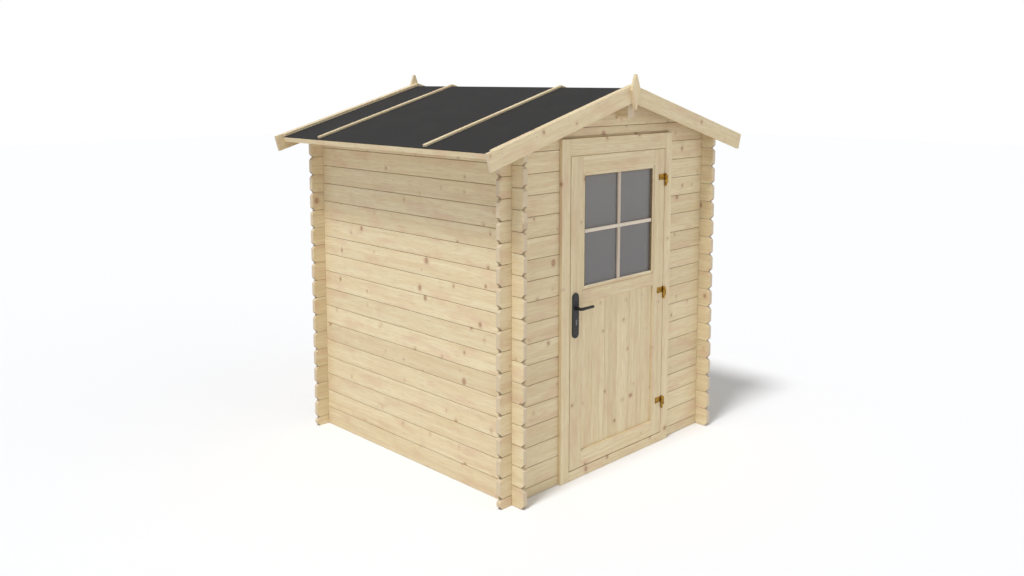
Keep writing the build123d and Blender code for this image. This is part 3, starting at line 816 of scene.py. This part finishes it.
plug = {"radius": 0.0062, "high": 0.0012, "ease": 0.0004, "sides": 32, "rim": 0.2, "slotWide": 0.2,
        "slotTall": 0.85, "slotDeep": 0.001}
barrelUp = 0.072  # the cylinder's round part below the spindle


def fitKeyPlugs():
    # a key plug with its slot, on both faces of the lock cylinder
    low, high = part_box("lock_cylinder")
    top = plug["high"]
    deselect()
    bpy.ops.mesh.primitive_cylinder_add(vertices=plug["sides"], radius=plug["radius"], depth=2 * top)
    pick("EDGE", lambda place, way: place.z > top * 0.9)
    bpy.ops.mesh.bevel(offset=plug["ease"], segments=2, affect="EDGES")
    pick("FACE", lambda place, normal: normal.z > 0.99)
    bpy.ops.mesh.inset(thickness=plug["radius"] * plug["rim"])
    bpy.ops.transform.resize(value=(plug["slotWide"], plug["slotTall"], 1), center_override=(0, 0, top))
    bpy.ops.mesh.extrude_region_move(TRANSFORM_OT_translate={"value": (0, 0, -plug["slotDeep"])})
    bpy.ops.object.mode_set(mode="OBJECT")
    master = bpy.context.object
    setMaterial(master, cylinderMaterial)
    # the slot's faces take the black coat: painted shade in the keyway
    master.data.materials.append(blackMaterial)
    for face in master.data.polygons:
        inSlot = abs(face.center.x) < plug["radius"] * plug["slotWide"] and face.normal.z > -0.5
        if inSlot and face.center.z < top * 0.9:
            face.material_index = 1
    height = spindle.z - barrelUp
    scatter(master, [((spindle.x, low.y, height), front, 0), ((spindle.x, high.y, height), back, 0)])
    settle("key_plugs", cylinderMaterial, "door")
    bpy.data.objects.remove(master)
    print("key plugs fitted")


# each bar starts so far proud of its face, with its middle so far down from the spindle
lockBars = {
    "forend": {"proud": 0.0008, "down": 0.042, "deep": 0.002, "wide": 0.020, "tall": 0.228, "ease": 0.0003},
    "latch": {"proud": 0.0013, "down": 0.0, "deep": 0.002, "wide": 0.012, "tall": 0.018, "ease": 0.0006},
    "bolt": {"proud": 0.0012, "down": barrelUp, "deep": 0.002, "wide": 0.011, "tall": 0.032, "ease": 0.0004},
    "strike": {"proud": 0.0012, "down": 0.042, "deep": 0.0018, "wide": 0.020, "tall": 0.228, "ease": 0.0003},
    "latchHoleShade": {"proud": 0.001, "down": 0.0, "deep": 0.0018, "wide": 0.015, "tall": 0.024, "ease": 0.0003},
    "boltHoleShade": {"proud": 0.001, "down": barrelUp, "deep": 0.0018, "wide": 0.015, "tall": 0.040,
                 "ease": 0.0003},
}
lockScrewIn = 0.010
strikeSeat = 0.0003
strikeScrewSunk = 0.0002


def lockBar(name, face):
    # a bar in the middle of the leaf's edge, or across from it on the jamb
    looks = lockBars[name]
    middle = (leafLow.y + leafHigh.y) / 2
    foot = spindle.z - looks["down"] - looks["tall"] / 2
    corner = (face - looks["proud"], middle - looks["wide"] / 2, foot)
    return makeBar(corner, (looks["deep"], looks["wide"], looks["tall"]), looks["ease"])


def lockScrews(head, name, face, outward):
    # one screw near each end of a lock plate
    looks = lockBars[name]
    middle = (leafLow.y + leafHigh.y) / 2
    foot = spindle.z - looks["down"] - looks["tall"] / 2
    places = []
    for up in (lockScrewIn, looks["tall"] - lockScrewIn):
        places.append(((face, middle, foot + up), outward, up))
    return scatter(head, places)


def fitLock():
    # the lock's plate in the edge of the leaf, with its latch and bolt, and the plate on the jamb
    head = makeScrewHead()
    edge = leafLow.x
    plates = [lockBar(name, edge) for name in ("forend", "latch", "bolt")]
    joinPieces(plates + [lockScrews(head, "forend", edge, (-1, 0, 0))])
    settle("lock_forend", zincMaterial, "door")
    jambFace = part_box("door_head")[0].x - strikeSeat
    strike = lockBar("strike", jambFace)
    joinPieces([strike, lockScrews(head, "strike", jambFace - strikeScrewSunk, (1, 0, 0))])
    settle("strike_plate", zincMaterial, "shed")
    # black plates on the jamb where the latch and bolt go in: painted shade in the strike's holes
    joinPieces([lockBar(name, jambFace) for name in ("latchHoleShade", "boltHoleShade")])
    settle("strike_hole_shade", blackMaterial, "shed")
    bpy.data.objects.remove(head)
    print("lock made")


# Seals round the pane, partly painted shade in its reveals, draught strips, and the lath over the door frame

sealShade = {"thick": 0.0012, "beadWide": 0.020, "back": 0.0019, "deep": 0.0132, "ease": 0.0003}


def fitSealsAndShade():
    # brown seal strips on the pane's sides and top, partly painted shade in its reveals; the lit bottom edge
    # has none
    low = paneLow + Vector((sealShade["beadWide"], 0, sealShade["beadWide"]))
    high = paneHigh - Vector((sealShade["beadWide"], 0, sealShade["beadWide"]))
    near = leafLow.y + sealShade["back"]
    thick = sealShade["thick"]
    upright = (thick, sealShade["deep"], high.z - low.z)
    lying = (high.x - low.x, sealShade["deep"], thick)
    strips = [
        makeBar((low.x, near, low.z), upright, sealShade["ease"]),
        makeBar((high.x - thick, near, low.z), upright, sealShade["ease"]),
        makeBar((low.x, near, high.z - thick), lying, sealShade["ease"]),
    ]
    joinPieces(strips)
    sealShadeMaterial = plainPaint("seal_and_reveal_shade", rgb(160, 138, 100), rgb(134, 114, 82), 60.0)
    settle("seals_and_reveal_shade", sealShadeMaterial, "door")
    print("pane sealed")


draught = {"headThick": 0.0036, "sideThick": 0.004, "back": 0.0011, "deep": 0.006, "ease": 0.0006,
           "topGap": 0.005, "lockGap": 0.0065, "hingeGap": 0.005}


def fitDraughtStrips():
    # on the frame, in the gap over the leaf and on its lock side
    left = leafLow.x - draught["lockGap"]
    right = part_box("door_stile_right")[1].x + draught["hingeGap"]
    face = leafLow.y + draught["back"]
    underHead = leafHigh.z + draught["topGap"] - draught["headThick"]
    deep = draught["deep"]
    headSize = (right - left, deep, draught["headThick"])
    sideSize = (draught["sideThick"], deep, underHead - leafLow.z)
    headStrip = makeBar((left, face, underHead), headSize, draught["ease"])
    sideStrip = makeBar((left, face, leafLow.z), sideSize, draught["ease"])
    joinPieces([headStrip, sideStrip])
    draughtMaterial = plainPaint("draught_seal", rgb(216, 196, 156), rgb(196, 176, 138), 60.0)
    settle("draught_strips", draughtMaterial, "shed")
    print("draught strips fitted")


lath = {"gap": 0.010, "clear": 0.0004, "behind": 0.005, "deep": 0.018, "inset": 0.026, "ease": 0.0008}


def fitLath():
    # closes the room that the logs have to settle over the door frame
    frameLow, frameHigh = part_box("door_jamb_left")
    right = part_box("door_jamb_right")[1].x
    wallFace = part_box("front_wall_logs_left")[0].y
    corner = (frameLow.x + lath["inset"], wallFace + lath["behind"], frameHigh.z + lath["clear"])
    size = (right - frameLow.x - 2 * lath["inset"], lath["deep"], lath["gap"] - 2 * lath["clear"])
    makeBar(corner, size, lath["ease"])
    settle("settling_lath", bpy.data.materials["frame_cross_wood"], "shed")
    print("lath fitted")


# Floor, light and camera

floorLooks = {"size": 60.0, "albedo": (0.885, 0.895, 0.915, 1.0), "lift": 0.02}


def makeFloor():
    bpy.ops.object.select_all(action="DESELECT")
    bpy.ops.mesh.primitive_plane_add(size=floorLooks["size"], location=(0, 0, 0))
    floor = bpy.context.object
    floor.name = "studio_floor"
    paint = Paint("floor_white", Roughness=1.0, Specular_IOR_Level=0.0, Base_Color=floorLooks["albedo"])
    lightPath = paint.tree.nodes.new("ShaderNodeLightPath")
    seen = Value(paint, lightPath.outputs["Is Camera Ray"])
    for ray in ("Is Glossy Ray", "Is Transmission Ray"):
        seen = seen + Value(paint, lightPath.outputs[ray])
    paint.shader.inputs["Emission Color"].default_value = (1, 1, 1, 1)
    paint.tree.links.new((seen * floorLooks["lift"]).socket, paint.shader.inputs["Emission Strength"])
    setMaterial(floor, paint.material)


skyLooks = {"light": 0.42, "shown": 1.0}


def makeWorld():
    world = bpy.data.worlds.new("studio")
    bpy.context.scene.world = world
    world.use_nodes = True
    tree = world.node_tree
    background = tree.nodes["Background"]
    background.inputs["Color"].default_value = (1, 1, 1, 1)
    lightPath = tree.nodes.new("ShaderNodeLightPath")
    add = tree.nodes.new("ShaderNodeMath")
    add.operation = "ADD"
    more = tree.nodes.new("ShaderNodeMath")
    more.operation = "ADD"
    more.use_clamp = True
    reach = tree.nodes.new("ShaderNodeMapRange")
    reach.inputs["To Min"].default_value = skyLooks["light"]
    reach.inputs["To Max"].default_value = skyLooks["shown"]
    tree.links.new(lightPath.outputs["Is Camera Ray"], add.inputs[0])
    tree.links.new(lightPath.outputs["Is Glossy Ray"], add.inputs[1])
    tree.links.new(add.outputs[0], more.inputs[0])
    tree.links.new(lightPath.outputs["Is Transmission Ray"], more.inputs[1])
    tree.links.new(more.outputs[0], reach.inputs["Value"])
    tree.links.new(reach.outputs[0], background.inputs["Strength"])


lampLooks = {
    "key": {"strength": 2.15, "spread": 11.0, "from": (-1.0, -0.16, 2.15)},
    "fill": {"strength": 0.34, "spread": 60.0, "from": (0.45, -1.0, 0.5)},
}


def makeLamp(name):
    looks = lampLooks[name]
    lamp = bpy.data.lights.new(name, "SUN")
    lamp.energy = looks["strength"]
    lamp.angle = math.radians(looks["spread"])
    light = bpy.data.objects.new(name, lamp)
    bpy.context.scene.collection.objects.link(light)
    light.rotation_mode = "QUATERNION"
    light.rotation_quaternion = Vector(looks["from"]).to_track_quat("Z", "Y")


cameraLooks = {"place": (-4.244, -4.257, 2.264), "turn": -44.91, "tilt": 6.519, "lens": 33.0,
               "shift": -0.10, "sensor": 36.0}


def makeCamera():
    camera = bpy.data.objects.new("camera", bpy.data.cameras.new("camera"))
    bpy.context.scene.collection.objects.link(camera)
    camera.location = cameraLooks["place"]
    camera.rotation_euler = (math.radians(90 - cameraLooks["tilt"]), 0, math.radians(cameraLooks["turn"]))
    camera.data.sensor_width = cameraLooks["sensor"]
    camera.data.lens = cameraLooks["lens"]
    camera.data.shift_y = cameraLooks["shift"]
    bpy.context.scene.camera = camera


fitScrews()
fitNails()
fitLever()
fitCollars()
fitKeyPlugs()
fitLock()
fitSealsAndShade()
fitDraughtStrips()
fitLath()
makeFloor()
makeWorld()
for name in lampLooks:
    makeLamp(name)
makeCamera()
bpy.context.scene.view_settings.view_transform = "Standard"
print("studio ready")

bpy.context.view_layer.update()
